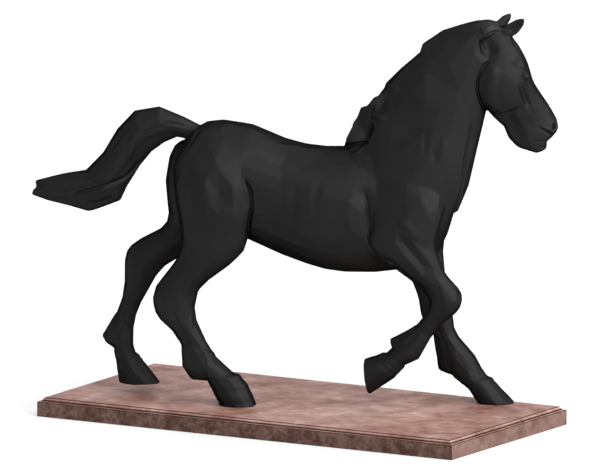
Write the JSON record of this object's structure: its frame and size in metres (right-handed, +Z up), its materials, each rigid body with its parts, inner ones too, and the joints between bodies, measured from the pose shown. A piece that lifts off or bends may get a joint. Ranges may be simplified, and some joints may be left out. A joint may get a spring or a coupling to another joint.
{
  "type": "horse statue",
  "caption": "Cast horse statue at the trot, with arched neck, blown tail and feathered legs, on a moulded rectangular stone base.",
  "frame": {"origin": "middle of the stone base's underside", "axes": "+X along the base's long side towards the horse's head, +Y towards the horse's left, +Z up"},
  "size_m": [0.4912, 0.2366, 0.4168],
  "materials": {
    "black_bronze": "cast bronze with a blackened, waxed patina",
    "rose_marble": "honed rosy brown marble with a moulded top edge"
  },
  "bodies": {
    "root": {"horse": "black_bronze", "stone_base": "rose_marble"}
  },
  "joints": []
}
